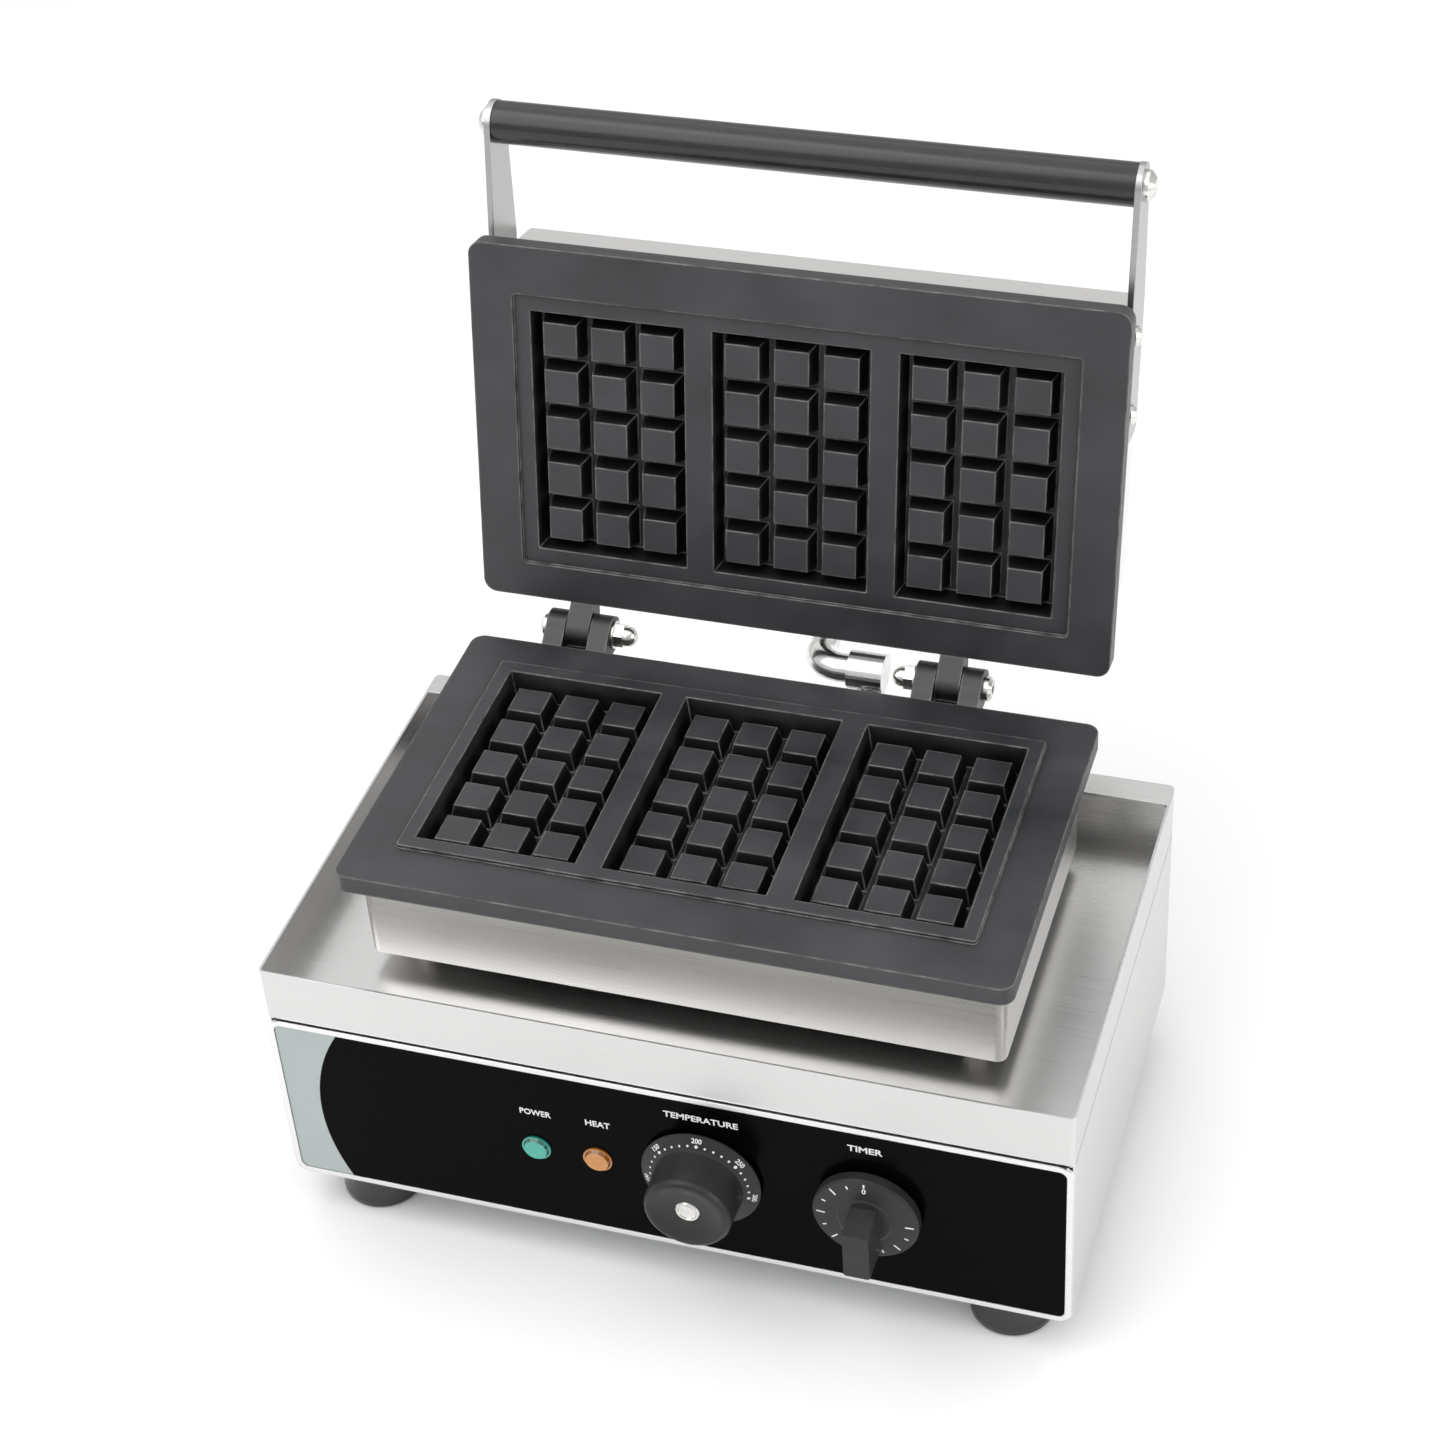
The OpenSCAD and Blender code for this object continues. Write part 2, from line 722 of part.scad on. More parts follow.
module lower_plate() {
    offset_x = middle_w / 2 + knuckle_gap + outer_w / 2;
    color([0.13, 0.13, 0.14]) lower_side() {
        plate_casting(-land_rise);
        for (hx = [hinge_left_x, hinge_right_x], s = [-1, 1])
            knuckle(hx + s * offset_x, outer_w);
    }
}

module upper_plate() {
    heel_in = 6;
    color([0.13, 0.13, 0.14]) on_lid() {
        plate_casting(land_rise + 2 * parting_gap);
        for (hx = [hinge_left_x, hinge_right_x]) {
            knuckle(hx, middle_w);
            // heel that meets the back edge of the lower plate when the lid is open
            rotate([lid_open, 0, 0])
                translate([hx - middle_w / 2, -hinge_reach + stop_gap, 1 - plate_t])
                    cube([middle_w, hinge_reach - stop_gap - heel_in, 4.5]);
        }
    }
}

// Folded pan that closes the back of a plate
module plate_housing() {
    l = housing_far - housing_near;
    cy = -(housing_far + housing_near) / 2;
    difference() {
        translate([0, cy, plate_t]) slab(housing_w, l, housing_h, housing_r);
        translate([0, cy, plate_t - 1])
            slab(housing_w - 2 * sheet, l - 2 * sheet, housing_h - sheet + 1, housing_r - sheet);
        for (x = [-1, 1], y = [-1, 1])
            translate([x * bolt_x, grid_y + y * tie_y, pan_depth - 3]) cylinder(r = m5_hole_r, h = 6);
        children();
    }
}

module lower_housing() {
    color("gainsboro") lower_side() plate_housing() {
        translate([0, -hinge_y, 0]) at_corners(support_x, support_front_y, support_rear_y)
            translate([0, 0, pan_depth - 3]) cylinder(r = m5_hole_r, h = 6);
        translate([sleeve_x, grid_y, pan_depth - 3]) cylinder(r = 8.1, h = 6);
    }
}

module upper_housing() {
    color("gainsboro") on_lid() plate_housing() {
        for (x = [-1, 1], s = arm_bolt_s)
            translate([x * arm_x, -s, grip_z]) x_rod(3.1, -5, 5);
        translate([elbow_x, 0, 2 * bend_r]) y_rod(tube_r + 0.1, -housing_near - 3, -housing_near + 3);
    }
}

// Tubular heater: four runs side by side, the ends turned away from the plate
module heater() {
    tail = 8;
    for (i = [-1.5, -0.5, 0.5, 1.5])
        translate([0, i * run_pitch, element_z]) x_rod(element_r, -run_half, run_half);
    for (side = [-1, 1]) {
        translate([run_half, side * run_pitch, element_z]) rotate([0, 0, -90])
            rotate_extrude(angle = 180) translate([run_pitch / 2, 0]) circle(element_r);
        translate([-run_half, side * 1.5 * run_pitch, element_z]) rotate([0, -90, 0])
            bend(tail, element_r, 90);
        translate([-run_half - tail, side * 1.5 * run_pitch, element_z + tail - eps])
            cylinder(r = element_r, h = 9);
    }
    translate([-run_half, 0, element_z]) rotate([0, 0, 90])
        rotate_extrude(angle = 180) translate([run_pitch / 2, 0]) circle(element_r);
}

module clamp_plate() {
    w = 2 * run_half - 16;
    difference() {
        translate([0, 0, clamp_z]) slab(w, 3 * run_pitch + 38, clamp_t, 6);
        for (x = [-1, 1], y = [-1, 1]) {
            translate([x * bolt_x, y * tie_y, clamp_z - 1]) cylinder(r = m5_hole_r, h = 4);
            translate([x * bolt_x, y * clamp_y, clamp_z - 1]) cylinder(r = m5_hole_r, h = 4);
        }
        translate([sleeve_x, 0, clamp_z - 1]) cylinder(r = 8, h = 4);
    }
}

module insulation() {
    z1 = clamp_z + clamp_t + 5;
    l = housing_far - housing_near;
    cy = -(housing_far + housing_near) / 2 - grid_y;
    difference() {
        translate([0, cy, z1])
            slab(housing_w - 2 * sheet - 2 * wool_gap, l - 2 * sheet - 2 * wool_gap,
                pan_depth - sheet - z1, 4);
        for (x = [-1, 1], y = [-1, 1])
            translate([x * bolt_x, y * tie_y, z1 - 1]) cylinder(r = 3.2, h = 60);
        translate([sleeve_x, 0, z1 - 1]) cylinder(r = 10, h = 60);
        for (side = [-1, 1])
            translate([-run_half - 8, side * 1.5 * run_pitch, z1 - 1]) cylinder(r = 6, h = 60);
        children();
    }
}

module clamp_screws() {
    for (x = [-1, 1], y = [-1, 1])
        translate([x * bolt_x, y * clamp_y, clamp_z + clamp_t]) mirror([0, 0, 1])
            pan_screw(m5_r, 5, 3, clamp_z + clamp_t - block_z + 8);
}

module tie_bolts() {
    for (x = [-1, 1], y = [-1, 1])
        translate([x * bolt_x, y * tie_y, pan_depth]) mirror([0, 0, 1])
            pan_screw(m5_r, 5.5, 3, pan_depth - block_z + 8);
}

module lower_pack() {
    lower_side() translate([0, grid_y, 0]) children();
}

module upper_pack() {
    on_lid() translate([0, grid_y, 0]) children();
}

module lower_element() color("dimgray") lower_pack() heater();
module lower_clamp_plate() color("silver") lower_pack() clamp_plate();
module lower_clamp_screws() color("lightgray") lower_pack() clamp_screws();
module lower_tie_bolts() color("lightgray") lower_pack() tie_bolts();
module upper_element() color("dimgray") upper_pack() heater();
module upper_clamp_plate() color("silver") upper_pack() clamp_plate();
module upper_clamp_screws() color("lightgray") upper_pack() clamp_screws();
module upper_tie_bolts() color("lightgray") upper_pack() tie_bolts();

module lower_insulation() {
    color("beige") lower_pack() insulation()
        translate([0, -hinge_y - grid_y, 0]) at_corners(support_x, support_front_y, support_rear_y)
            translate([0, 0, 10]) cylinder(r = 7, h = 60);
}

module upper_insulation() {
    color("beige") upper_pack() insulation() {
        for (x = [-1, 1], s = arm_bolt_s)
            translate([x * arm_x, -s - grid_y, grip_z]) x_rod(6, -14, 14);
        translate([elbow_x, -housing_near - grid_y, 2 * bend_r]) y_rod(12, -14, 14);
    }
}

// ---------------------------------------------------------------- supports

module support_spacers() {
    color("silver") at_corners(support_x, support_front_y, support_rear_y)
        translate([0, 0, floor_z]) difference() {
            cylinder(r = 6, h = spacer_h);
            translate([0, 0, -1]) cylinder(r = m5_hole_r, h = spacer_h + 2);
        }
}

module support_bolts() {
    color("lightgray") at_corners(support_x, support_front_y, support_rear_y)
        translate([0, 0, pan_z + sheet]) mirror([0, 0, 1])
            pan_screw(m5_r, 5, 3, spacer_h + 2 * sheet + 8);
}

module support_nuts() {
    color("lightgray") at_corners(support_x, support_front_y, support_rear_y)
        translate([0, 0, floor_z - sheet - 4.5]) hex_nut(4.9, m5_r + 0.03, 4.5);
}

// Flanged tube that takes the wires from the lower housing into the base
module wire_sleeve() {
    color("silver") translate([sleeve_x, sleeve_y, 0]) difference() {
        union() {
            translate([0, 0, floor_z - sheet - 5]) cylinder(r = 8, h = spacer_h + 2 * sheet + 9);
            translate([0, 0, floor_z]) cylinder(r = 10.5, h = spacer_h);
        }
        cylinder(r = 6.4, h = hinge_z);
    }
}

// ---------------------------------------------------------------- hinge pins

// Pin with its head at x = 0, pointing along +X
module hinge_pin() {
    head = 4.2;
    difference() {
        union() {
            x_rod(pin_r, -1, 2 * hinge_half + washer_t + 6);
            x_rod(6.4, -head + 1.6, 0);
            translate([-head + 1.6, 0, 0]) rotate([0, -90, 0]) cylinder(r1 = 6.4, r2 = 4.6, h = 1.6);
        }
        translate([-head - 1, 0, 0]) rotate([0, 90, 0]) cylinder(r = 2.4, h = 3, $fn = 6);
    }
}

module acorn_nut_x() {
    rotate([0, 90, 0]) dome_nut(6.6, pin_r + 0.03, 5);
}

module hinge_washer_x() {
    difference() {
        x_rod(7.4, 0, washer_t);
        x_rod(pin_bore_r, -1, washer_t + 1);
    }
}

module hinge_pin_left()
    color("lightgray") at_hinge() translate([hinge_left_x - hinge_half, 0, 0]) hinge_pin();

module hinge_pin_right() {
    color("lightgray") at_hinge() translate([hinge_right_x + hinge_half, 0, 0]) mirror([1, 0, 0]) hinge_pin();
}

module hinge_nut_left() {
    color("lightgray") at_hinge() translate([hinge_left_x + hinge_half + washer_t, 0, 0]) acorn_nut_x();
}

module hinge_nut_right() {
    color("lightgray") at_hinge()
        translate([hinge_right_x - hinge_half - washer_t, 0, 0]) mirror([1, 0, 0]) acorn_nut_x();
}

module hinge_washers() {
    color("silver") at_hinge() {
        translate([hinge_left_x + hinge_half, 0, 0]) hinge_washer_x();
        translate([hinge_right_x - hinge_half, 0, 0]) mirror([1, 0, 0]) hinge_washer_x();
    }
}

// ---------------------------------------------------------------- wiring conduit

// Route of the base half of the conduit, from the hinge line down to the base:
// a jog of two quarter bends brings it in front of the tray's back flange
module lower_route(r, top, bottom) {
    shift = hinge_y - down_y;
    jog_r = shift / 2;
    translate([0, 0, -jog_start]) cylinder(r = r, h = jog_start + top);
    translate([0, 0, -jog_start]) rotate([180, 0, 0]) rotate([0, 0, 90]) bend(jog_r, r, 90);
    translate([0, -shift, -jog_start - shift]) rotate([0, 0, 90]) bend(jog_r, r, 90);
    translate([0, -shift, -bottom]) cylinder(r = r, h = bottom - jog_start - shift);
}

module lower_conduit() {
    end = hinge_z - floor_z + 11;
    color("silver") at_hinge() difference() {
        union() {
            x_rod(union_r, union_from, union_to);
            translate([union_x, 0, 0]) lower_route(tube_r, 0, end);
        }
        translate([union_x, 0, 0]) lower_route(tube_in_r, 2, end + 1);
        x_rod(tube_r + running, union_from - 1, elbow_end + 0.5);
        x_rod(chamber_r, elbow_end, union_to - 1.5);
    }
}

module lower_conduit_nuts() {
    color("lightgray") translate([union_x, down_y, 0]) {
        translate([0, 0, floor_z]) hex_nut(nut_hex_r, tube_r + 0.03, 4.5);
        translate([0, 0, floor_z - sheet - 4.5]) hex_nut(nut_hex_r, tube_r + 0.03, 4.5);
    }
}

// Route of the lid half: along the hinge line, then round behind the plate
module upper_route(r, end_x, depth) {
    x_rod(r, elbow_x + bend_r, end_x);
    translate([elbow_x + bend_r, 0, 0]) rotate([0, -90, 0]) bend(bend_r, r, 90);
    translate([elbow_x, 0, bend_r]) rotate([0, 0, -90]) bend(bend_r, r, 90);
    translate([elbow_x, 0, 2 * bend_r]) y_rod(r, -depth, -bend_r);
}

module upper_conduit() {
    depth = housing_near + 8;
    color("silver") on_lid() difference() {
        upper_route(tube_r, elbow_end, depth);
        upper_route(tube_in_r, elbow_end + 1, depth + 1);
    }
}

module upper_conduit_nut() {
    color("lightgray") on_lid()
        translate([elbow_x, -housing_near, 2 * bend_r]) rotate([-90, 0, 0])
            hex_nut(nut_hex_r, tube_r + 0.03, 5);
}

// ---------------------------------------------------------------- handle

module arm_outline() {
    low_r = 5;
    translate([grip_reach, grip_z]) circle(arm_end_r);
    polygon([
        [grip_reach, arm_front], [grip_reach, grip_z + arm_end_r], [arm_shoulder, arm_back],
        [arm_low + low_r, arm_back], [arm_low + low_r, arm_front]
    ]);
    translate([arm_low, arm_front + low_r]) square([low_r + 1, arm_back - arm_front - 2 * low_r]);
    for (z = [arm_front + low_r, arm_back - low_r])
        translate([arm_low + low_r, z]) circle(low_r);
}

module handle_arms() {
    color("gainsboro") on_lid() for (side = [-1, 1])
        translate([side > 0 ? arm_x : -arm_x - arm_t, 0, 0]) difference() {
            rotate([0, 90, 0]) rotate([0, 0, 90]) mirror([1, 0, 0])
                linear_extrude(arm_t) arm_outline();
            translate([0, -grip_reach, grip_z]) x_rod(rod_r + 0.1, -1, arm_t + 1);
            for (s = arm_bolt_s)
                translate([0, -s, grip_z]) x_rod(3.1, -1, arm_t + 1);
        }
}

module handle_grip() {
    color([0.07, 0.07, 0.075]) on_lid() translate([0, -grip_reach, grip_z]) difference() {
        x_rod(grip_d / 2, -arm_x + 0.05, arm_x - 0.05);
        x_rod(rod_r + 0.2, -arm_x - 1, arm_x + 1);
    }
}

module handle_rod() {
    color("silver") on_lid() translate([0, -grip_reach, grip_z])
        x_rod(rod_r, -arm_x - arm_t - 3, arm_x + arm_t + 3);
}

module handle_fasteners() {
    color("lightgray") on_lid() for (side = [-1, 1]) {
        translate([side * (arm_x + arm_t), -grip_reach, grip_z]) rotate([0, side * 90, 0]) difference() {
            union() {
                cylinder(r = 7.6, h = 2.4);
                translate([0, 0, 2.4]) cylinder(r1 = 7.6, r2 = 4.4, h = 2.8);
            }
            translate([0, 0, -1]) cylinder(r = rod_r + 0.03, h = 4.1);
        }
        for (s = arm_bolt_s)
            translate([side * (arm_x + arm_t), -s, grip_z]) rotate([0, -side * 90, 0])
                pan_screw(m5_r, 5, 3, arm_t + 9);
    }
}

// ---------------------------------------------------------------- nodes

body_shell();
bottom_cover();
front_panel();
fascia_overlay();
top_tray();
foot_front_left();
foot_front_right();
foot_rear_left();
foot_rear_right();
foot_screws();
foot_nuts();
cover_screws();
power_lamp_lens();
power_lamp_holder();
heat_lamp_lens();
heat_lamp_holder();
thermostat_body();
thermostat_shaft();
thermostat_knob();
thermostat_knob_cap();
sensor_bulb();
capillary_tube();
timer_body();
timer_shaft();
timer_knob();
control_screws();
cord_gland();
terminal_block();
terminal_screws();
support_spacers();
support_bolts();
support_nuts();
wire_sleeve();
lower_housing();
lower_plate();
lower_element();
lower_clamp_plate();
lower_insulation();
lower_clamp_screws();
lower_tie_bolts();
hinge_pin_left();
hinge_pin_right();
hinge_nut_left();
hinge_nut_right();
hinge_washers();
lower_conduit();
lower_conduit_nuts();
upper_plate();
upper_housing();
upper_element();
upper_clamp_plate();
upper_insulation();
upper_clamp_screws();
upper_tie_bolts();
handle_arms();
handle_grip();
handle_rod();
handle_fasteners();
upper_conduit();
upper_conduit_nut();
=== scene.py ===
"""Looks of a counter-top waffle maker: finishes, printed marks, light and camera."""

import logging
import math
from dataclasses import dataclass
from enum import Enum

import bmesh
import bpy
from mathutils import Matrix, Vector


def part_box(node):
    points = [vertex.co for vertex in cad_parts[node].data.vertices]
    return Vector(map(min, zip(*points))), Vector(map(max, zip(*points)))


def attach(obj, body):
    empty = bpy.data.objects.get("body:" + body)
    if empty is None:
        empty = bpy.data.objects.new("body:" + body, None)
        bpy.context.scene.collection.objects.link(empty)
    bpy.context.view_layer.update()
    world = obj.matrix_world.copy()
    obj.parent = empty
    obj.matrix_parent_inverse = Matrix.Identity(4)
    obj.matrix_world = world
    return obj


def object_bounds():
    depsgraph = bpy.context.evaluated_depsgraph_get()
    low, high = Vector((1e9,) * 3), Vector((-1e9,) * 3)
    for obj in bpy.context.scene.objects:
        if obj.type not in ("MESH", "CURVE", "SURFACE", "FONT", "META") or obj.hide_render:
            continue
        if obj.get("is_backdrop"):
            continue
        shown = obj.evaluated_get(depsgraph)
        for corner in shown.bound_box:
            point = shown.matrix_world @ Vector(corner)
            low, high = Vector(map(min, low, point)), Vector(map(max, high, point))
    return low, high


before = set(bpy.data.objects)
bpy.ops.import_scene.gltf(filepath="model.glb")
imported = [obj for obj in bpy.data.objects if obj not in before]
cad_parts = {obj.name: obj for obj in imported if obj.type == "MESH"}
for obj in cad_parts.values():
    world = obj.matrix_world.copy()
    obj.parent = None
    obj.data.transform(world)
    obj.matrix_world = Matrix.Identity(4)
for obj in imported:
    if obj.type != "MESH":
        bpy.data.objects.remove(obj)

LOG = logging.getLogger("waffle_maker")
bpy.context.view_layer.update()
MM = 0.001
Colour = tuple[float, float, float]
Point = tuple[float, float, float]
Socket = bpy.types.NodeSocket
EVEN: Point = (1, 1, 1)

# Printed marks: the font's outline and depth before scaling, and the finished thicknesses
FONT_OUTLINE = 0.022
FONT_DEPTH = 0.02
LETTER_DEPTH = 0.10 * MM
DASH_DEPTH = 0.08 * MM
MERGE = 1e-7


class Body(Enum):
    """The bodies that the printed pieces ride on."""

    BASE = "base"
    THERMOSTAT = "thermostat_dial"
    TIMER = "timer_dial"


def opaque(colour: object) -> object:
    """Returns a colour with full alpha, or a socket as it is."""
    return (*colour, 1.0) if isinstance(colour, tuple) else colour


class Graph:
    """A material and its node tree, with short ways to add and join nodes."""

    # The Mix node keeps separate sockets for numbers and for colours
    NUMBER_PORTS = (0, 2, 3)
    COLOUR_PORTS = (6, 7)
    COLOUR_OUT = 2
    EDGE_SAMPLES = 4
    HOLLOW_SAMPLES = 6

    def __init__(self, name: str) -> None:
        """Makes the material with its shader in place."""
        self.material = bpy.data.materials.new(name)
        self.material.use_nodes = True
        self.tree = self.material.node_tree
        self.shader = self.tree.nodes["Principled BSDF"]

    def add(self, kind: str, settings: dict | None = None, **inputs: object) -> bpy.types.Node:
        """Adds a node.

        Args:
            kind: The node type, without its ShaderNode prefix.
            settings: Values of the node's own properties.
            inputs: Socket values or output sockets; an underscore stands for a space.

        Returns:
            The new node.
        """
        made = self.tree.nodes.new("ShaderNode" + kind)
        for key, value in (settings or {}).items():
            setattr(made, key, value)
        for key, value in inputs.items():
            self.feed(made.inputs[key.replace("_", " ")], value)
        return made

    def feed(self, socket: Socket, value: object) -> None:
        """Links an output to a socket, or sets the socket's value."""
        if isinstance(value, Socket):
            self.tree.links.new(value, socket)
        else:
            socket.default_value = value

    def math(self, operation: str, a: object, b: object = 0.0) -> Socket:
        """Returns the output of a math node."""
        made = self.add("Math", {"operation": operation})
        self.feed(made.inputs[0], a)
        self.feed(made.inputs[1], b)
        return made.outputs[0]

    def place(self, scale: Point = EVEN) -> Socket:
        """Returns object coordinates, stretched by a scale."""
        coords = self.add("TexCoord")
        return self.add("Mapping", Vector=coords.outputs["Object"], Scale=scale).outputs[0]

    def noise(self, scale: float, stretch: Point = EVEN, detail: float = 4) -> Socket:
        """Returns a noise value between about 0.2 and 0.8."""
        where = self.place(stretch)
        return self.add("TexNoise", Vector=where, Scale=scale, Detail=detail).outputs["Fac"]

    def span(
        self, value: object, low: float, high: float, a: float = 0.3, b: float = 0.7
    ) -> Socket:
        """Returns a value carried from a..b to low..high, held inside those."""
        made = self.add("MapRange")
        for key, number in zip(("From Min", "From Max", "To Min", "To Max"), (a, b, low, high)):
            made.inputs[key].default_value = number
        self.feed(made.inputs["Value"], value)
        return made.outputs[0]

    def mix(self, factor: object, a: object, b: object) -> Socket:
        """Returns a number mixed from a to b by a factor."""
        made = self.add("Mix", {"data_type": "FLOAT"})
        for key, value in zip(self.NUMBER_PORTS, (factor, a, b)):
            self.feed(made.inputs[key], value)
        return made.outputs[0]

    def blend(self, factor: object, a: object, b: object) -> Socket:
        """Returns a colour mixed from a to b by a factor."""
        made = self.add("Mix", {"data_type": "RGBA"})
        self.feed(made.inputs["Factor"], factor)
        for key, value in zip(self.COLOUR_PORTS, (a, b)):
            self.feed(made.inputs[key], opaque(value))
        return made.outputs[self.COLOUR_OUT]

    def bump(
        self, height: object, strength: float, depth: float, normal: object = None
    ) -> Socket:
        """Returns a normal roughened by a height."""
        made = self.add("Bump", Strength=strength, Distance=depth, Height=height)
        if normal is not None:
            self.feed(made.inputs["Normal"], normal)
        return made.outputs[0]

    def soft_edges(self, radius: float) -> Socket:
        """Returns a normal that rounds sharp edges by a radius."""
        return self.add("Bevel", {"samples": self.EDGE_SAMPLES}, Radius=radius).outputs[0]

    def edge_mask(self, radius: float) -> Socket:
        """Returns 1 on sharp edges and 0 on flat parts."""
        sharp, flat = 0.78, 0.97
        rounded = self.soft_edges(radius)
        true = self.add("NewGeometry").outputs["Normal"]
        dot = self.add("VectorMath", {"operation": "DOT_PRODUCT"})
        self.feed(dot.inputs[0], rounded)
        self.feed(dot.inputs[1], true)
        return self.span(dot.outputs["Value"], 1.0, 0.0, sharp, flat)

    def openness(self, reach: float) -> Socket:
        """Returns ambient occlusion: 1 on open faces, falling towards 0 in narrow hollows where
        shade falls.
        """
        shade = self.add("AmbientOcclusion", {"samples": self.HOLLOW_SAMPLES}, Distance=reach)
        return shade.outputs["AO"]

    def finish(
        self, colour: object, roughness: object, normal: object = None, **fixed: float
    ) -> bpy.types.Material:
        """Joins the shader's sockets.

        Args:
            colour: Base colour, as a colour or a socket.
            roughness: Roughness, as a number or a socket.
            normal: Normal socket, or None.
            fixed: Numbers for the shader's other sockets.

        Returns:
            The finished material.
        """
        self.feed(self.shader.inputs["Base Color"], opaque(colour))
        self.feed(self.shader.inputs["Roughness"], roughness)
        if normal is not None:
            self.feed(self.shader.inputs["Normal"], normal)
        for key, value in fixed.items():
            self.feed(self.shader.inputs[key.replace("_", " ")], value)
        return self.material


@dataclass(frozen=True)
class BrushedSteel:
    """Stainless sheet with a fine grain along its length."""

    name: str
    light: Colour = (0.70, 0.695, 0.69)
    dark: Colour = (0.635, 0.63, 0.625)
    rough: float = 0.30
    grain: float = 0.05
    along: float = 14
    across: float = 2600

    def build(self) -> bpy.types.Material:
        """Returns the material."""
        graph = Graph(self.name)
        along_x = graph.noise(1.0, (self.along, self.across, self.across), 2)
        along_y = graph.noise(1.0, (self.across, self.along, self.across), 2)
        facing = graph.add("SeparateXYZ", Vector=graph.add("TexCoord").outputs["Normal"])
        side = graph.span(graph.math("ABSOLUTE", facing.outputs["X"]), 0.0, 1.0, 0.6, 0.8)
        grain = graph.mix(side, along_x, along_y)
        clouds = graph.noise(7.0, EVEN, 3)
        tint = graph.math(
            "ADD", graph.math("MULTIPLY", grain, 0.55), graph.math("MULTIPLY", clouds, 0.45)
        )
        colour = graph.blend(graph.span(tint, 0.0, 1.0), self.dark, self.light)
        rough = graph.math(
            "ADD",
            graph.span(grain, self.rough - 0.03, self.rough + 0.04),
            graph.span(clouds, -0.02, 0.04),
        )
        normal = graph.bump(grain, self.grain, 0.00005, graph.soft_edges(0.0007))
        return graph.finish(colour, rough, normal, Metallic=1.0)


@dataclass(frozen=True)
class BrightSteel:
    """Plated or turned steel of small fittings."""

    name: str
    colour: Colour = (0.78, 0.77, 0.74)
    rough: float = 0.18

    def build(self) -> bpy.types.Material:
        """Returns the material."""
        graph = Graph(self.name)
        spots = graph.noise(260.0)
        dull = tuple(0.82 * c for c in self.colour)
        colour = graph.blend(graph.span(spots, 0.0, 1.0), dull, self.colour)
        rough = graph.span(spots, self.rough + 0.10, self.rough - 0.03)
        normal = graph.bump(graph.noise(900.0), 0.06, 0.0001, graph.soft_edges(0.0003))
        return graph.finish(colour, rough, normal, Metallic=1.0)


@dataclass(frozen=True)
class SeasonedIron:
    """Seasoned cast iron with painted shade darkening its hollows, rubbed lighter on its edges."""

    name: str
    deep: Colour = (0.019, 0.020, 0.022)
    pale: Colour = (0.042, 0.043, 0.047)
    worn: Colour = (0.300, 0.297, 0.295)
    # Near-black colour of the painted shade in the hollows
    soot: Colour = (0.004, 0.004, 0.0045)
    hollow_reach: float = 22 * MM
    wear_width: float = 1.5 * MM

    def build(self) -> bpy.types.Material:
        """Returns the material."""
        graph = Graph(self.name)
        clouds = graph.noise(22.0, EVEN, 6)
        streaks = graph.noise(1.0, (30, 300, 300), 4)
        oiled = graph.blend(graph.span(clouds, 0.0, 1.0), self.deep, self.pale)
        # Painted shade: ambient occlusion blends the seasoned colour towards near black deep in
        # the hollows
        free_of_painted_shade = graph.span(graph.openness(self.hollow_reach), 0.0, 1.0, 0.50, 0.95)
        body = graph.blend(free_of_painted_shade, self.soot, oiled)
        patchy = graph.span(graph.noise(110.0), 0.15, 1.0, 0.34, 0.60)
        rubbed = graph.math("MULTIPLY", graph.edge_mask(self.wear_width), patchy)
        colour = graph.blend(rubbed, body, self.worn)
        rough = graph.math("ADD", graph.span(clouds, 0.36, 0.50), graph.span(streaks, -0.04, 0.05))
        pits = graph.noise(1500.0, EVEN, 2)
        fine = graph.bump(pits, 0.16, 0.00025, graph.soft_edges(0.0011))
        normal = graph.bump(streaks, 0.05, 0.0002, fine)
        return graph.finish(colour, rough, normal, Specular_IOR_Level=0.6)


@dataclass(frozen=True)
class Moulded:
    """Moulded plastic or bakelite with a fine skin."""

    name: str
    colour: Colour
    rough: float = 0.35
    skin: float = 0.08
    coat: float = 0.0
    shine: float = 0.5

    def build(self) -> bpy.types.Material:
        """Returns the material."""
        graph = Graph(self.name)
        clouds = graph.noise(60.0)
        pale = tuple(1.35 * c + 0.002 for c in self.colour)
        colour = graph.blend(graph.span(clouds, 0.0, 1.0), self.colour, pale)
        rough = graph.span(clouds, self.rough - 0.05, self.rough + 0.06)
        texture = graph.noise(1300.0, EVEN, 2)
        normal = graph.bump(texture, self.skin, 0.0002, graph.soft_edges(0.0006))
        return graph.finish(
            colour, rough, normal,
            Coat_Weight=self.coat, Coat_Roughness=0.12, Specular_IOR_Level=self.shine,
        )


@dataclass(frozen=True)
class PanelFilm:
    """Glossy black film with a grey end bounded by a wide arc."""

    name: str
    black: Colour = (0.0012, 0.0012, 0.0013)
    grey: Colour = (0.43, 0.47, 0.47)
    arc_x: float = -76.1 * MM
    arc_z: float = 74.6 * MM
    arc_r: float = 103.4 * MM
    feather: float = 0.15 * MM

    def build(self) -> bpy.types.Material:
        """Returns the material."""
        graph = Graph(self.name)
        where = graph.add("SeparateXYZ", Vector=graph.place())
        dx = graph.math("SUBTRACT", where.outputs["X"], self.arc_x)
        dz = graph.math("SUBTRACT", where.outputs["Z"], self.arc_z)
        squares = graph.math("ADD", graph.math("MULTIPLY", dx, dx), graph.math("MULTIPLY", dz, dz))
        far = graph.math("SQRT", squares)
        outside = graph.span(far, 0.0, 1.0, self.arc_r - self.feather, self.arc_r + self.feather)
        left = graph.math("LESS_THAN", dx, 0.0)
        clouds = graph.noise(40.0)
        pale = tuple(1.06 * c for c in self.grey)
        grey = graph.blend(graph.span(clouds, 0.0, 1.0), self.grey, pale)
        colour = graph.blend(graph.math("MULTIPLY", outside, left), self.black, grey)
        rough = graph.span(clouds, 0.16, 0.22)
        normal = graph.bump(graph.noise(700.0), 0.012, 0.0001)
        return graph.finish(colour, rough, normal, Specular_IOR_Level=0.03)


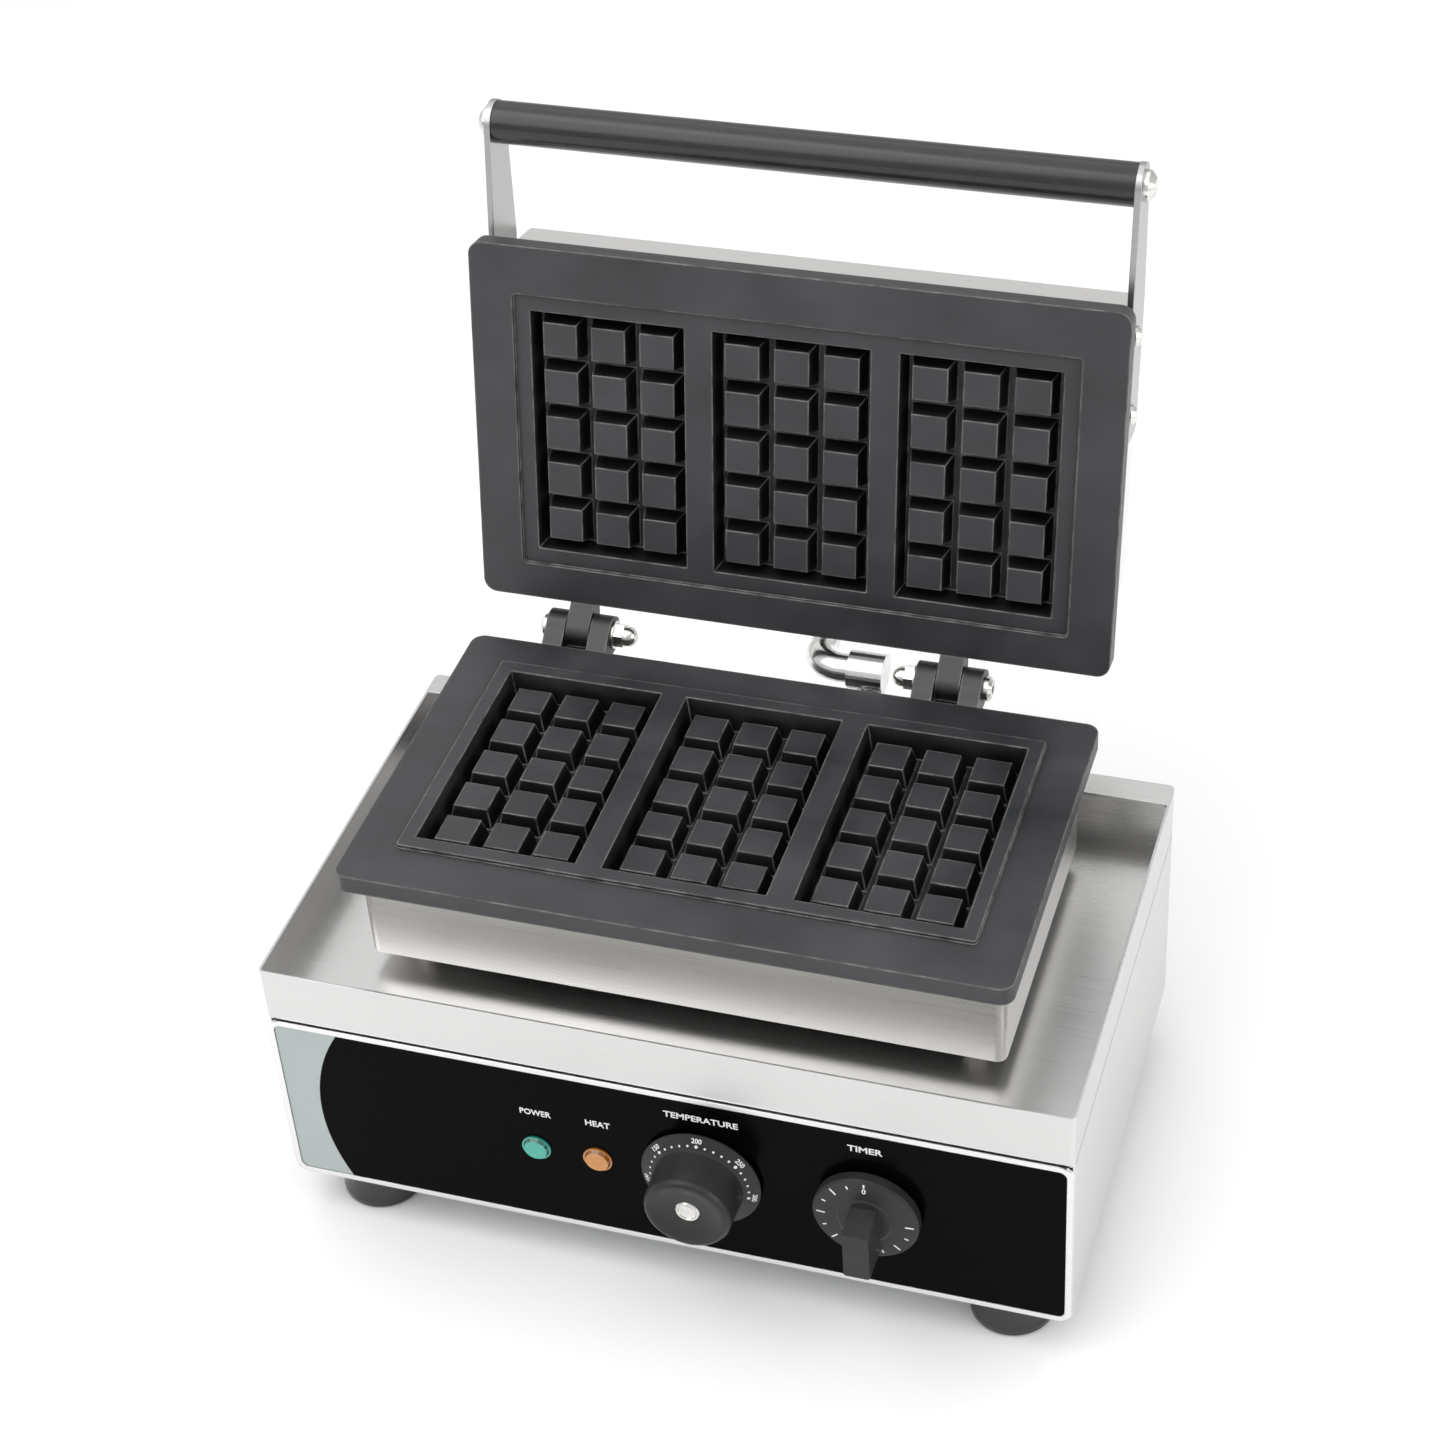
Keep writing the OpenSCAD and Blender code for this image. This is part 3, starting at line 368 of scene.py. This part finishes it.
@dataclass(frozen=True)
class Lens:
    """Tinted lamp lens, clearer on its face than on its sloping rim."""

    name: str
    face: Colour
    rim: Colour

    def build(self) -> bpy.types.Material:
        """Returns the material."""
        graph = Graph(self.name)
        facing = graph.add("SeparateXYZ", Vector=graph.add("TexCoord").outputs["Normal"])
        flat = graph.span(graph.math("ABSOLUTE", facing.outputs["Y"]), 0.0, 1.0, 0.80, 0.97)
        clouds = graph.noise(320.0)
        shade = graph.math("MULTIPLY", flat, graph.span(clouds, 0.7, 1.0))
        colour = graph.blend(shade, self.rim, self.face)
        graph.feed(graph.shader.inputs["Emission Color"], colour)
        rough = graph.span(clouds, 0.08, 0.15)
        return graph.finish(
            colour, rough, None, Emission_Strength=0.25, Coat_Weight=1.0, Coat_Roughness=0.04
        )


@dataclass(frozen=True)
class Mineral:
    """Matt fibrous or unglazed material, such as wool board or ceramic."""

    name: str
    colour: Colour
    scale: float = 400.0
    depth: float = 0.35

    def build(self) -> bpy.types.Material:
        """Returns the material."""
        graph = Graph(self.name)
        fibres = graph.noise(self.scale, (1, 1, 0.3), 6)
        dull = tuple(0.72 * c for c in self.colour)
        colour = graph.blend(graph.span(fibres, 0.0, 1.0), dull, self.colour)
        rough = graph.span(fibres, 0.7, 0.9)
        return graph.finish(colour, rough, graph.bump(fibres, self.depth, 0.0004))


@dataclass(frozen=True)
class Ink:
    """White printing, very slightly uneven."""

    name: str
    colour: Colour = (0.86, 0.86, 0.85)

    def build(self) -> bpy.types.Material:
        """Returns the material."""
        graph = Graph(self.name)
        specks = graph.noise(900.0)
        thin = tuple(0.86 * c for c in self.colour)
        colour = graph.blend(graph.span(specks, 0.0, 1.0), thin, self.colour)
        rough = graph.span(specks, 0.42, 0.55)
        return graph.finish(colour, rough, graph.bump(specks, 0.05, 0.00005))


SHEET = BrushedSteel("brushed_stainless_sheet")
HOUSING = BrushedSteel("housing_sheet", (0.86, 0.85, 0.83), (0.80, 0.79, 0.77))
STRAP = BrushedSteel("handle_strap", (0.50, 0.50, 0.50), (0.42, 0.42, 0.42))
PLATED = BrushedSteel("plated_sheet", (0.62, 0.64, 0.66), (0.50, 0.52, 0.54), 0.38)
BORDER = BrushedSteel("panel_border", (0.84, 0.84, 0.84), (0.76, 0.76, 0.76), 0.24, 0.04)
FITTINGS = BrightSteel("bright_fittings")
TUBE = BrightSteel("polished_tube", (0.86, 0.86, 0.85), 0.14)
COPPER = BrightSteel("drawn_copper", (0.72, 0.38, 0.24), 0.30)
SHEATH = BrightSteel("dark_element_sheath", (0.14, 0.13, 0.12), 0.42)
IRON = SeasonedIron("seasoned_cast_iron")
BAKELITE = Moulded("black_bakelite", (0.006, 0.006, 0.0065), 0.16, 0.03, 0.5)
GRIP = Moulded("black_grip_sleeve", (0.009, 0.009, 0.0095), 0.27, 0.06, 0.15)
KNOBS = Moulded("dark_grey_knob", (0.021, 0.0215, 0.022), 0.36, 0.12, 0.0, 0.25)
NYLON = Moulded("black_nylon", (0.007, 0.007, 0.0078), 0.42, 0.10, 0.0, 0.3)
FILM = PanelFilm("panel_film")
GREEN = Lens("green_lens_tint", (0.012, 0.34, 0.26), (0.004, 0.10, 0.08))
AMBER = Lens("amber_lens_tint", (0.50, 0.19, 0.022), (0.20, 0.065, 0.007))
WOOL = Mineral("mineral_wool_board", (0.72, 0.66, 0.50))
CERAMIC = Mineral("unglazed_ceramic", (0.84, 0.81, 0.72), 900.0, 0.08)
WHITE_INK = Ink("white_printing")


class Dresser:
    """Makes each finish once and puts it on CAD nodes and new pieces."""

    def __init__(self) -> None:
        """Starts with no materials made."""
        self.made: dict[str, bpy.types.Material] = {}

    def material(self, finish: object) -> bpy.types.Material:
        """Returns the finish's material, built the first time it is asked for."""
        if finish.name not in self.made:
            self.made[finish.name] = finish.build()
        return self.made[finish.name]

    def paint(self, finish: object, *nodes: str) -> None:
        """Puts a finish on CAD nodes.

        Args:
            finish: The finish to use.
            nodes: Names of the CAD nodes.
        """
        for name in nodes:
            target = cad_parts[name]
            target.data.materials.clear()
            target.data.materials.append(self.material(finish))
            LOG.info("dressed %s in %s", name, finish.name)

    def settle(self, piece: bpy.types.Object, body: Body, finish: object) -> None:
        """Dresses a new piece and makes it ride.

        Args:
            piece: The new object, in place.
            body: The body that carries it.
            finish: The finish to use.
        """
        piece.data.materials.clear()
        piece.data.materials.append(self.material(finish))
        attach(piece, body.value)
        LOG.info("built %s on %s", piece.name, body.value)


def collect(name: str, parts: list[bmesh.types.BMesh]) -> bpy.types.Object:
    """Joins meshes into one named object.

    Args:
        name: Name of the piece.
        parts: Meshes in the shared frame; they are freed.

    Returns:
        The linked object.
    """
    whole = bpy.data.meshes.new(name)
    joined = bmesh.new()
    for part in parts:
        lump = bpy.data.meshes.new("lump")
        part.to_mesh(lump)
        joined.from_mesh(lump)
        bpy.data.meshes.remove(lump)
        part.free()
    joined.to_mesh(whole)
    joined.free()
    made = bpy.data.objects.new(name, whole)
    bpy.context.scene.collection.objects.link(made)
    return made


def lettering(words: str, height: float, width: float | None, at: Matrix) -> bmesh.types.BMesh:
    """Makes solid letters, centred on their own middle.

    Args:
        words: What is printed.
        height: Height of a capital in metres.
        width: Width of the whole line in metres, or None to leave it natural.
        at: Where the middle goes, and how it is turned.

    Returns:
        The letters' mesh, in the shared frame.
    """
    curve = bpy.data.curves.new("letters", "FONT")
    curve.body = words
    curve.size = 1.0
    curve.offset = FONT_OUTLINE
    curve.resolution_u = 3
    curve.extrude = FONT_DEPTH
    maker = bpy.data.objects.new("letters", curve)
    bpy.context.scene.collection.objects.link(maker)
    bpy.context.view_layer.update()
    flat = bpy.data.meshes.new_from_object(maker)
    bpy.data.objects.remove(maker)
    bpy.data.curves.remove(curve)
    letters = bmesh.new()
    letters.from_mesh(flat)
    bpy.data.meshes.remove(flat)
    low = Vector(min(v.co[i] for v in letters.verts) for i in range(3))
    high = Vector(max(v.co[i] for v in letters.verts) for i in range(3))
    size = high - low
    up = height / size.y
    across = width / size.x if width else up
    shape = Matrix.Diagonal((across, up, LETTER_DEPTH / size.z, 1.0))
    centre = Matrix.Translation(-(low + high) / 2)
    bmesh.ops.transform(letters, matrix=at @ shape @ centre, verts=letters.verts)
    return letters


def lozenge(width: float, length: float, at: Matrix, sides: int = 12) -> bmesh.types.BMesh:
    """Makes a thin printed dash with round ends, or a dot where both sizes are equal.

    Args:
        width: Width in metres.
        length: Length in metres, along the local Y axis.
        at: Where its middle goes, and how it is turned.
        sides: Points round each end.

    Returns:
        The dash's mesh, in the shared frame.
    """
    r, half = width / 2, max(length / 2 - width / 2, 0.0)
    outline = []
    for end in (1, -1):
        for i in range(sides + 1):
            turn = math.pi * i / sides + (0 if end > 0 else math.pi)
            outline.append((r * math.cos(turn), r * math.sin(turn) + end * half, 0.0))
    shape = bmesh.new()
    face = shape.faces.new([shape.verts.new(p) for p in outline])
    grown = bmesh.ops.extrude_face_region(shape, geom=[face])
    lifted = [v for v in grown["geom"] if isinstance(v, bmesh.types.BMVert)]
    bmesh.ops.translate(shape, verts=lifted, vec=(0, 0, DASH_DEPTH))
    bmesh.ops.remove_doubles(shape, verts=shape.verts, dist=MERGE)
    bmesh.ops.recalc_face_normals(shape, faces=shape.faces)
    bmesh.ops.transform(shape, matrix=at, verts=shape.verts)
    return shape


@dataclass
class Cabinet:
    """The base: stainless body, tray, feet, cover and supply parts."""

    sheets: tuple[str, ...] = ("body_shell", "top_tray")
    plated: tuple[str, ...] = ("bottom_cover", "thermostat_body", "timer_body")
    feet: tuple[str, ...] = (
        "foot_front_left", "foot_front_right", "foot_rear_left", "foot_rear_right",
    )
    bright: tuple[str, ...] = (
        "foot_screws", "foot_nuts", "cover_screws", "control_screws", "terminal_screws",
        "support_spacers", "support_bolts", "support_nuts", "wire_sleeve",
        "thermostat_shaft", "timer_shaft",
    )

    def dress(self, dresser: Dresser) -> None:
        """Puts the finishes on the base's nodes."""
        dresser.paint(SHEET, *self.sheets)
        dresser.paint(PLATED, *self.plated)
        dresser.paint(BAKELITE, *self.feet)
        dresser.paint(FITTINGS, *self.bright)
        dresser.paint(NYLON, "cord_gland")
        dresser.paint(CERAMIC, "terminal_block")
        dresser.paint(COPPER, "sensor_bulb", "capillary_tube")


@dataclass
class Label:
    """One printed word on the panel, sizes in millimetres."""

    words: str
    x: float
    z: float
    width: float
    height: float = 3.9


@dataclass
class ControlPanel:
    """The front panel with its film, lamps and printed words, sizes in millimetres."""

    labels: tuple[Label, ...] = (
        Label("POWER", -63.5, 101.7, 16.0),
        Label("HEAT", -31.6, 101.9, 12.6),
        Label("TEMPERATURE", 21.3, 118.6, 37.0),
        Label("TIMER", 101.5, 119.0, 17.0),
    )
    stand_off: float = 0.03

    def build(self) -> bpy.types.Object:
        """Returns the printed words as one piece on the film's face."""
        face_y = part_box("fascia_overlay")[0].y
        parts = []
        for label in self.labels:
            spot = Matrix.Translation((label.x * MM, face_y - self.stand_off * MM, label.z * MM))
            upright = spot @ Matrix.Rotation(math.pi / 2, 4, "X")
            parts.append(lettering(label.words, label.height * MM, label.width * MM, upright))
        return collect("panel_words", parts)

    def dress(self, dresser: Dresser) -> None:
        """Puts the finishes on the panel's nodes and its words."""
        dresser.paint(BORDER, "front_panel")
        dresser.paint(FILM, "fascia_overlay")
        dresser.paint(GREEN, "power_lamp_lens")
        dresser.paint(AMBER, "heat_lamp_lens")
        dresser.paint(NYLON, "power_lamp_holder", "heat_lamp_holder")
        dresser.settle(self.build(), Body.BASE, WHITE_INK)


@dataclass
class Dial:
    """Places marks on a dial face that faces the front."""

    centre: Vector
    rise: float
    slope: float

    def at(self, angle: float, radius: float, height: float) -> Matrix:
        """Gives the place of a mark.

        Args:
            angle: Degrees clockwise from the top, as seen from the front.
            radius: Distance from the dial's axis, in metres.
            height: Height of the surface there above the dial's back, in metres.

        Returns:
            A matrix whose X runs round the dial, Y outwards and Z off its face.
        """
        turn = math.radians(angle)
        out = Vector((math.sin(turn), 0.0, math.cos(turn)))
        front = Vector((0.0, -1.0, 0.0))
        lean = math.radians(self.slope)
        y_axis = math.cos(lean) * out - math.sin(lean) * front
        z_axis = math.cos(lean) * front + math.sin(lean) * out
        x_axis = y_axis.cross(z_axis)
        place = self.centre + out * radius + front * (height + self.rise)
        made = Matrix((x_axis, y_axis, z_axis)).transposed().to_4x4()
        made.translation = place
        return made


@dataclass
class ThermostatScale:
    """Dots and numbers round the skirt of the thermostat knob, sizes in millimetres."""

    first: int = 50
    last: int = 300
    at_top: int = 200
    dot_r: float = 24.8
    number_r: float = 27.5
    number_h: float = 2.6
    skirt_edge: float = 1.6
    skirt_top: float = 4.4
    dot_step: int = 10
    number_step: int = 50
    big_dot: float = 1.7
    small_dot: float = 1.2
    grip_share: float = 0.733
    grip_fillet: float = 1.6
    stand_off: float = 0.03
    nodes: tuple[str, ...] = ("thermostat_knob",)

    def build(self) -> bpy.types.Object:
        """Returns the scale as one piece on the skirt."""
        low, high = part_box("thermostat_knob")
        outer = (high.x - low.x) / 2
        inner = self.grip_share * outer + self.grip_fillet * MM
        fall = (self.skirt_top - self.skirt_edge) * MM / (outer - inner)
        middle = (low + high) / 2
        slope = math.degrees(math.atan(fall))
        dial = Dial(Vector((middle.x, high.y, middle.z)), self.stand_off * MM, slope)
        parts = []
        for degrees in range(self.first, self.last + 1, self.dot_step):
            whole = degrees % self.number_step == 0
            size = (self.big_dot if whole else self.small_dot) * MM
            angle = degrees - self.at_top
            height = self.skirt_edge * MM + fall * (outer - self.dot_r * MM)
            parts.append(lozenge(size, size, dial.at(angle, self.dot_r * MM, height)))
            if whole:
                height = self.skirt_edge * MM + fall * (outer - self.number_r * MM)
                spot = dial.at(angle, self.number_r * MM, height)
                parts.append(lettering(str(degrees), self.number_h * MM, None, spot))
        return collect("thermostat_scale", parts)

    def dress(self, dresser: Dresser) -> None:
        """Puts the finishes on the knob and its scale."""
        dresser.paint(KNOBS, *self.nodes)
        dresser.paint(FITTINGS, "thermostat_knob_cap")
        dresser.settle(self.build(), Body.THERMOSTAT, WHITE_INK)


@dataclass
class TimerScale:
    """Ticks round the timer dial, sizes in millimetres."""

    steps: int = 12
    step: float = 22.5
    tick_r: float = 21.6
    face_h: float = 6.78
    face_slope: float = 4.2
    tick_w: float = 0.85
    long_tick: float = 4.4
    short_tick: float = 2.2
    zero_r: float = 19.6
    zero_h: float = 3.1
    zero_lift: float = 0.15
    zero_tick: tuple[float, float] = (0.9, 2.4)
    zero_tick_r: float = 22.8
    zero_tick_drop: float = 0.08
    stand_off: float = 0.04
    nodes: tuple[str, ...] = ("timer_knob",)

    def build(self) -> bpy.types.Object:
        """Returns the ticks and the zero as one piece on the dial."""
        low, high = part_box("timer_knob")
        radius = (high.x - low.x) / 2
        centre = Vector(((low.x + high.x) / 2, high.y, high.z - radius))
        dial = Dial(centre, self.stand_off * MM, self.face_slope)
        tick_w, tick_l = self.zero_tick
        tick_at = dial.at(0, self.zero_tick_r * MM, (self.face_h - self.zero_tick_drop) * MM)
        zero_at = dial.at(0, self.zero_r * MM, (self.face_h + self.zero_lift) * MM)
        parts = [
            lozenge(tick_w * MM, tick_l * MM, tick_at),
            lettering("0", self.zero_h * MM, None, zero_at),
        ]
        for i in range(1, self.steps + 1):
            length = self.long_tick if i % 2 == 0 else self.short_tick
            spot = dial.at(-i * self.step, self.tick_r * MM, self.face_h * MM)
            parts.append(lozenge(self.tick_w * MM, length * MM, spot))
        return collect("timer_scale", parts)

    def dress(self, dresser: Dresser) -> None:
        """Puts the finishes on the dial and its ticks."""
        dresser.paint(KNOBS, *self.nodes)
        dresser.settle(self.build(), Body.TIMER, WHITE_INK)


@dataclass
class WafflePlate:
    """One cast plate with its housing and heating pack."""

    side: str

    def dress(self, dresser: Dresser) -> None:
        """Puts the finishes on the plate's nodes."""
        dresser.paint(IRON, f"{self.side}_plate")
        dresser.paint(HOUSING, f"{self.side}_housing")
        dresser.paint(SHEATH, f"{self.side}_element")
        dresser.paint(PLATED, f"{self.side}_clamp_plate")
        dresser.paint(WOOL, f"{self.side}_insulation")
        dresser.paint(FITTINGS, f"{self.side}_clamp_screws", f"{self.side}_tie_bolts")


@dataclass
class Hinges:
    """The hinge pins and the wiring conduit beside them."""

    bright: tuple[str, ...] = (
        "hinge_pin_left", "hinge_pin_right", "hinge_nut_left", "hinge_nut_right",
        "hinge_washers", "lower_conduit_nuts", "upper_conduit_nut",
    )

    def dress(self, dresser: Dresser) -> None:
        """Puts the finishes on the pins and the conduit."""
        dresser.paint(FITTINGS, *self.bright)
        dresser.paint(TUBE, "lower_conduit", "upper_conduit")


@dataclass
class Handle:
    """The lifting handle on the lid."""

    def dress(self, dresser: Dresser) -> None:
        """Puts the finishes on the handle's nodes."""
        dresser.paint(STRAP, "handle_arms")
        dresser.paint(GRIP, "handle_grip")
        dresser.paint(FITTINGS, "handle_rod", "handle_fasteners")


@dataclass(frozen=True)
class Softbox:
    """A square soft light that points at the middle of the object."""

    name: str
    place: Point
    size: float
    power: float

    def build(self, target: Vector) -> None:
        """Adds the light, aimed at a target."""
        light = bpy.data.lights.new(self.name, "AREA")
        light.size = self.size
        light.energy = self.power
        holder = bpy.data.objects.new(self.name, light)
        holder.location = self.place
        holder.rotation_mode = "QUATERNION"
        holder.rotation_quaternion = (target - Vector(self.place)).to_track_quat("-Z", "Y")
        holder.visible_camera = False
        bpy.context.scene.collection.objects.link(holder)


@dataclass
class Studio:
    """Pale floor, soft light and the camera, in metres, radians and millimetres of lens."""

    eye: Point = (0.3834, -1.07267, 1.16431)
    azimuth: float = 0.349504
    elevation: float = 0.683173
    roll: float = -0.0752115
    lens: float = 75.577
    sensor: float = 36.0
    reach: tuple[float, float] = (0.05, 30.0)
    floor_half: float = 8.0
    floor_colour: Colour = (0.93, 0.93, 0.93)
    surround: float = 0.68
    softboxes: tuple[Softbox, ...] = (
        Softbox("key_light", (-0.9, -0.9, 1.9), 2.0, 22.0),
        Softbox("top_light", (0.1, 0.4, 2.4), 3.2, 25.0),
        Softbox("side_light", (1.8, -0.3, 0.9), 1.1, 11.0),
    )

    def camera(self) -> None:
        """Sets up the camera at its measured place and angle."""
        data = bpy.data.cameras.new("view")
        data.lens = self.lens
        data.sensor_width = self.sensor
        data.clip_start, data.clip_end = self.reach
        az, el = self.azimuth, self.elevation
        ahead = Vector((-math.sin(az) * math.cos(el), math.cos(az) * math.cos(el), -math.sin(el)))
        right = Vector((math.cos(az), math.sin(az), 0.0))
        up = right.cross(ahead)
        x_axis = right * math.cos(self.roll) + up * math.sin(self.roll)
        y_axis = up * math.cos(self.roll) - right * math.sin(self.roll)
        pose = Matrix((x_axis, y_axis, -ahead)).transposed().to_4x4()
        pose.translation = Vector(self.eye)
        holder = bpy.data.objects.new("view", data)
        holder.matrix_world = pose
        bpy.context.scene.collection.objects.link(holder)
        bpy.context.scene.camera = holder

    def floor(self) -> None:
        """Adds a wide pale floor, which isn't part of the object."""
        sheet = bmesh.new()
        bmesh.ops.create_grid(sheet, x_segments=1, y_segments=1, size=self.floor_half)
        data = bpy.data.meshes.new("floor")
        sheet.to_mesh(data)
        sheet.free()
        floor = bpy.data.objects.new("floor", data)
        bpy.context.scene.collection.objects.link(floor)
        graph = Graph("pale_floor")
        floor.data.materials.append(graph.finish(self.floor_colour, 0.7))
        floor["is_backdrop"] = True

    def light(self) -> None:
        """Adds the soft lights and a bright plain surround."""
        low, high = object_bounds()
        for box in self.softboxes:
            box.build((low + high) / 2)
        world = bpy.data.worlds.new("surround")
        world.use_nodes = True
        back = world.node_tree.nodes["Background"]
        back.inputs["Color"].default_value = (1.0, 1.0, 1.0, 1.0)
        back.inputs["Strength"].default_value = self.surround
        bpy.context.scene.world = world
        bpy.context.scene.view_settings.view_transform = "Standard"

    def build(self) -> None:
        """Sets up the camera, floor and light."""
        self.camera()
        self.floor()
        self.light()
        LOG.info("set up the studio")


def main() -> None:
    """Dresses the sub-assemblies in order and sets up the studio."""
    logging.basicConfig(level=logging.INFO, format="%(name)s: %(message)s")
    dresser = Dresser()
    assemblies = (
        Cabinet(), ControlPanel(), ThermostatScale(), TimerScale(),
        WafflePlate("lower"), WafflePlate("upper"), Hinges(), Handle(),
    )
    for assembly in assemblies:
        assembly.dress(dresser)
    Studio().build()


if __name__ == "__main__":
    main()
